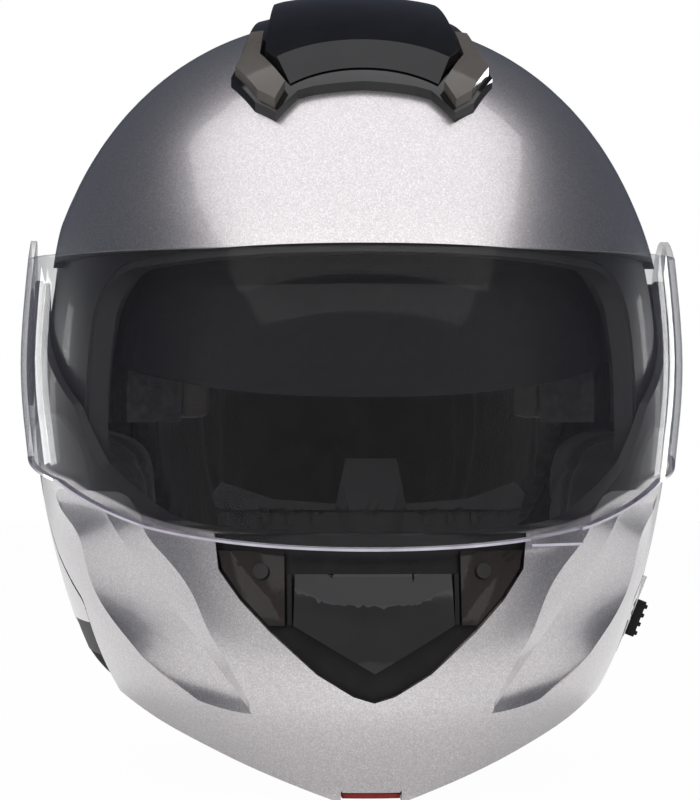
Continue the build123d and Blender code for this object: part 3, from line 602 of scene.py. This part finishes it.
def face_guard(bm):
    """Gives the breath guard its raised nose with slanting cheeks, and a ledge below its wings."""
    ledge, corner, half, slant, cheek = 0.0995, 0.1144, 0.0113, 0.262, 0.0045
    for side in (-1, 1):
        for wide in (half, half + cheek):
            crease(bm, (side * wide, 0, corner), (side, 0, -slant))
    for height in (ledge, ledge - 0.8 * MM):
        crease(bm, (0, 0, height), (0, 0, 1))
    for vert in front_points(bm):
        beside = abs(vert.co.x) - half - slant * (vert.co.z - corner)
        vert.co.y -= 2.4 * MM * min(1.0, max(0.0, 1.0 - beside / cheek))
        if vert.co.z < ledge - 0.4 * MM:
            vert.co.y += 1.6 * MM


def rim_bead():
    """The shield's lower edge, a bead as thick as the shield, its pale colour a painted highlight."""
    piece = merged_copy("face_shield", "shield_rim_bead", "rim")
    bm = bmesh.new()
    bm.from_mesh(piece.data)
    bm.normal_update()
    downward, sides_start, highest = -0.6, -0.010, 0.125
    others = []
    for face in bm.faces:
        middle = face.calc_center_median()
        if face.normal.z > downward or middle.y > sides_start or middle.z > highest:
            others.append(face)
    bmesh.ops.delete(bm, geom=others, context="FACES")
    bm.to_mesh(piece.data)
    bm.free()
    bead = piece.modifiers.new("bead", "SOLIDIFY")
    bead.thickness = 0.9 * MM
    bead.offset = 1.0
    settle(piece, smooth=False)
    piece.data.materials.clear()
    piece.data.materials.append(finishes["rim"])
    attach(piece, "shield")


finer(
    "chin_vent_slider", "chin_vent_cover", "gloss", "vent_gloss", "chin_vent_slider",
    lean_cover, sharpness=12.0,
)
for side, hand in ((1, "left"), (-1, "right")):
    plate, name = f"chin_vent_lens_{hand}", f"chin_vent_window_{hand}"
    finer(plate, name, "smoked", "smoked_plastic", "chin_bar", fold_plate(side), sharpness=5.0)
finer("breath_guard", "breath_guard_mask", "black", "vent_black", "chin_bar", face_guard, sharpness=15.0)
finer("sun_visor_knob", "sun_visor_thumb_knob", "black", "vent_black", "sun_visor_knob", edge=0.3 * MM)
finer("release_button", "chin_release_button", "red", "button_red", "release_button", edge=0.3 * MM)
finer("buckle_housing", "buckle_case", "steel", "steel", "shell", edge=0.4 * MM)
finer("buckle_lever", "buckle_release_lever", "steel", "steel", "buckle_lever", edge=0.3 * MM)
rim_bead()


def piping(cushion, name, point, normal, radius=0.8 * MM):
    """A corded seam round a cushion where the plane meets it."""
    bm = bmesh.new()
    bm.from_mesh(cushion.data)
    geometry = [*bm.verts, *bm.edges, *bm.faces]
    bmesh.ops.bisect_plane(
        bm, geom=geometry, dist=0.001 * MM, plane_co=Vector(point), plane_no=Vector(normal),
        clear_inner=True, clear_outer=True,
    )
    data = bpy.data.curves.new(name, "CURVE")
    data.dimensions = "3D"
    data.bevel_depth = radius
    data.bevel_resolution = 2
    done = set()
    for start in bm.verts:
        if start in done:
            continue
        course = [start]
        done.add(start)
        while True:
            ahead = [e.other_vert(course[-1]) for e in course[-1].link_edges]
            ahead = [vert for vert in ahead if vert not in done]
            if not ahead:
                break
            course.append(ahead[0])
            done.add(ahead[0])
        if len(course) < SHORTEST_SEAM_POINTS:
            continue
        spline = data.splines.new("POLY")
        spline.points.add(len(course) - 1)
        for spot, vert in zip(spline.points, course):
            spot.co = (*vert.co, 1.0)
        spline.use_cyclic_u = True
    bm.free()
    piece = bpy.data.objects.new(name, data)
    bpy.context.scene.collection.objects.link(piece)
    graph = bpy.context.evaluated_depsgraph_get()
    mesh = bpy.data.meshes.new_from_object(piece.evaluated_get(graph))
    bpy.data.objects.remove(piece)
    cord = linked(name, mesh, "webbing")
    mesh.shade_smooth()
    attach(cord, "shell")


for side, hand in ((1, "left"), (-1, "right")):
    cushion = bpy.data.objects[f"cheek_cushion_{hand}"]
    piping(cushion, f"cheek_piping_{hand}", (side * 0.088, 0, 0), (side, 0.12, 0))
piping(bpy.data.objects["neck_cushion"], "neck_piping", (0, 0, 0.012), (0, 0, 1))


# Camera, light and stage


def aim_camera():
    """A long lens level with the shell's widest part, a little to the wearer's right."""
    distance, height = 1.5, 0.137
    turn = math.radians(2.8)
    data = bpy.data.cameras.new("camera")
    data.sensor_fit = "HORIZONTAL"
    data.sensor_width = 36.0
    data.lens = 203.7
    data.clip_start = 0.05
    camera = bpy.data.objects.new("camera", data)
    camera.location = (-distance * math.sin(turn), -distance * math.cos(turn), height)
    camera.rotation_euler = (math.pi / 2, 0.0, -turn)
    bpy.context.scene.collection.objects.link(camera)
    bpy.context.scene.camera = camera


def soft_light(name, place, target, size, power, color=(1.0, 1.0, 1.0)):
    data = bpy.data.lights.new(name, "AREA")
    data.shape = "RECTANGLE"
    data.size, data.size_y = size
    data.energy = power
    data.color = color
    lamp = bpy.data.objects.new(name, data)
    lamp.location = place
    lamp.rotation_euler = (Vector(target) - Vector(place)).to_track_quat("-Z", "Y").to_euler()
    bpy.context.scene.collection.objects.link(lamp)


def light_the_set():
    soft_light("overhead_soft", (0.0, -0.50, 1.40), (0.0, -0.05, 0.15), (2.9, 2.5), 28.0, (1.0, 0.975, 0.985))
    soft_light("left_strip", (-0.80, 1.05, 0.17), (0.0, 0.0, 0.15), (0.14, 0.26), 0.9)
    soft_light("right_strip", (0.80, 1.05, 0.17), (0.0, 0.0, 0.15), (0.14, 0.26), 0.9)


def pale_world():
    """White to the eye and through clear parts; mirrors see a dim studio with a pale wall in front."""
    world = bpy.data.worlds.new("pale_room")
    world.use_nodes = True
    tree = world.node_tree
    tree.nodes.clear()

    def add(kind):
        return tree.nodes.new("ShaderNode" + kind)

    def background(color, strength):
        node = add("Background")
        node.inputs["Color"].default_value = (*color, 1.0)
        node.inputs["Strength"].default_value = strength
        return node

    def mixed(first, second, share):
        mix = add("MixShader")
        tree.links.new(share, mix.inputs["Fac"])
        tree.links.new(first, mix.inputs[1])
        tree.links.new(second, mix.inputs[2])
        return mix.outputs["Shader"]

    room = background((0.55, 0.57, 0.60), 0.5)
    white = background((1.0, 1.0, 1.0), 1.0)
    dim = background((0.055, 0.06, 0.08), 1.0)
    place = add("TexCoord")
    split = add("SeparateXYZ")
    tree.links.new(place.outputs["Generated"], split.inputs["Vector"])

    def fade(output, start, end):
        node = add("MapRange")
        node.interpolation_type = "SMOOTHSTEP"
        node.inputs["From Min"].default_value = start
        node.inputs["From Max"].default_value = end
        tree.links.new(split.outputs[output], node.inputs["Value"])
        return node.outputs["Result"]

    front = add("Math")
    front.operation = "MULTIPLY"
    tree.links.new(fade("Y", 0.0, -0.6), front.inputs[0])
    tree.links.new(fade("Z", 0.80, 0.35), front.inputs[1])
    wall = background((0.62, 0.62, 0.62), 1.0)
    mirrored_room = mixed(dim.outputs["Background"], wall.outputs["Background"], front.outputs["Value"])
    path = add("LightPath")
    glossy = mixed(room.outputs["Background"], mirrored_room, path.outputs["Is Glossy Ray"])
    clear = mixed(glossy, white.outputs["Background"], path.outputs["Is Transmission Ray"])
    seen = mixed(clear, white.outputs["Background"], path.outputs["Is Camera Ray"])
    output = add("OutputWorld")
    tree.links.new(seen, output.inputs["Surface"])
    bpy.context.scene.world = world


def pale_floor():
    """Nearly white to the eye; what is mirrored of it is a pool of light with the part's own shade."""
    mesh = bpy.data.meshes.new("floor")
    bm = bmesh.new()
    bmesh.ops.create_grid(bm, x_segments=1, y_segments=1, size=3.0)
    bm.to_mesh(mesh)
    bm.free()
    floor = bpy.data.objects.new("floor", mesh)
    bpy.context.scene.collection.objects.link(floor)
    finish = Finish("pale_floor", (0.82, 0.82, 0.82), 0.9)
    tree = finish.tree
    path = finish.add("LightPath")

    def math_node(kind, first, second):
        node = finish.add("Math", operation=kind)
        for socket, value in zip(node.inputs, (first, second)):
            if isinstance(value, float):
                socket.default_value = value
            else:
                finish.join(value, socket)
        return node.outputs["Value"]

    split = finish.add("SeparateXYZ")
    finish.join(finish.place, split.inputs["Vector"])

    def fade(value, start, end, low, high):
        node = finish.add("MapRange", interpolation_type="SMOOTHSTEP")
        finish.set(node, **{"From Min": start, "From Max": end, "To Min": low, "To Max": high})
        finish.join(value, node.inputs["Value"])
        return node.outputs["Result"]

    beside = math_node("ABSOLUTE", split.outputs["X"], 0.0)
    pool = math_node("ADD", fade(beside, 0.50, 0.08, 0.30, 0.60), fade(beside, 0.10, 0.0, 0.0, 0.40))
    half_width, half_length = 0.13, 0.19
    across = math_node("POWER", math_node("DIVIDE", split.outputs["X"], half_width), 2.0)
    along = math_node("POWER", math_node("DIVIDE", split.outputs["Y"], half_length), 2.0)
    shaded = fade(math_node("ADD", across, along), 0.75, 1.30, 0.25, 1.0)
    mirrored = math_node("MULTIPLY", path.outputs["Is Glossy Ray"], math_node("MULTIPLY", pool, shaded))
    seen = math_node("MAXIMUM", path.outputs["Is Camera Ray"], path.outputs["Is Transmission Ray"])
    glow = 0.98
    share = math_node("MAXIMUM", math_node("MULTIPLY", seen, glow), mirrored)
    mix = finish.add("MixShader")
    finish.join(share, mix.inputs["Fac"])
    finish.join(finish.shader.outputs["BSDF"], mix.inputs[1])
    finish.join(finish.add("Emission").outputs["Emission"], mix.inputs[2])
    finish.join(mix.outputs["Shader"], tree.nodes["Material Output"].inputs["Surface"])
    mesh.materials.append(finish.material)


aim_camera()
light_the_set()
pale_world()
pale_floor()

bpy.context.scene.view_settings.view_transform = "Standard"
